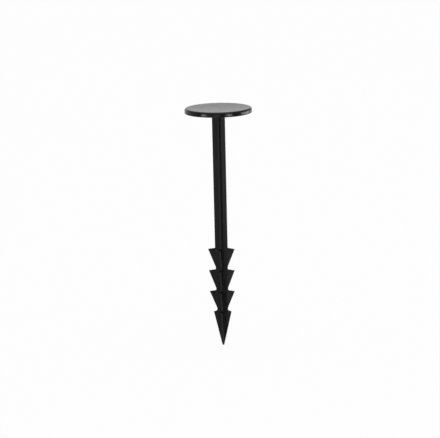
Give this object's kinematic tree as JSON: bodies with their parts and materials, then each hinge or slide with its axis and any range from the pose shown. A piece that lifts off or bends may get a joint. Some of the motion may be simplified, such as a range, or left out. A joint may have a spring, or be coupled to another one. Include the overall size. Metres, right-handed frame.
{
  "type": "ground spike",
  "caption": "One-piece moulded plastic ground spike: a round head on a cross-ribbed shank with backward barbs and an arrow point.",
  "frame": {"origin": "on the shank's axis, in the plane of the head's seat, which is the ground line once the spike is driven in", "axes": "+Z along the shank's axis, up through the head; the ribs lie along X and Y"},
  "size_m": [0.0418, 0.0418, 0.1501],
  "materials": {
    "spike_plastic": "black moulded polypropylene, semi-matt with a fine moulded grain"
  },
  "bodies": {
    "root": {"ground_spike": "spike_plastic"}
  },
  "joints": []
}
